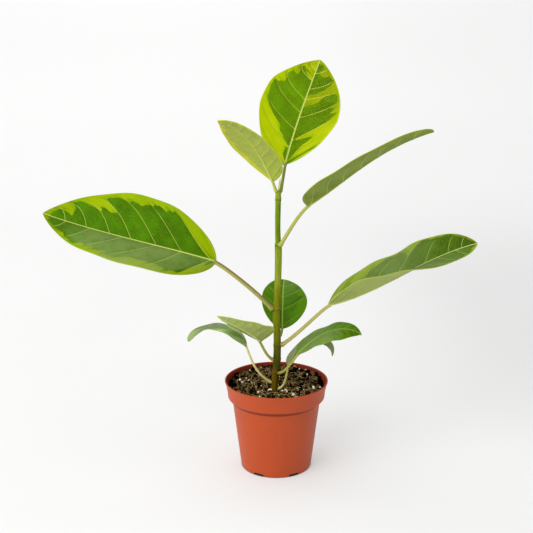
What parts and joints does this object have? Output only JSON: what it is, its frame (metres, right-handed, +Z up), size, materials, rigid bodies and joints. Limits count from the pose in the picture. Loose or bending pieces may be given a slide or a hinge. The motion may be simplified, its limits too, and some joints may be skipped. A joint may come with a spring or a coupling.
{
  "type": "potted variegated fig plant",
  "caption": "Young fig with large glossy leaves, dark green with yellow-green margins, on a single upright stem in a round terracotta-coloured plastic nursery pot filled with potting mix.",
  "frame": {"origin": "middle of the pot's flat underside, at the resting mount", "axes": "+Z up along the pot's axis, -Y towards the viewer, +X to the viewer's right; the foliage spreads along X"},
  "size_m": [0.4247, 0.1529, 0.4082],
  "materials": {
    "pot": "satin terracotta-coloured moulded plastic",
    "soil": "moist peat mix with perlite",
    "stem": "smooth green to olive bark with ring scars",
    "bud": "pale yellow-green sheath",
    "leaf": "glossy dark green with yellow-green margins above, pale and matt below"
  },
  "bodies": {
    "root": {"pot": "pot", "soil": "soil", "stem": "stem", "terminal_bud": "bud", "leaf_crown": "leaf", "leaf_top_left": "leaf", "leaf_upper_right": "leaf", "leaf_large_left": "leaf", "leaf_large_right": "leaf", "leaf_round_back": "leaf", "leaf_low_left": "leaf", "leaf_low_right": "leaf", "leaf_drooping_left": "leaf", "leaf_drooping_right": "leaf"}
  },
  "joints": []
}
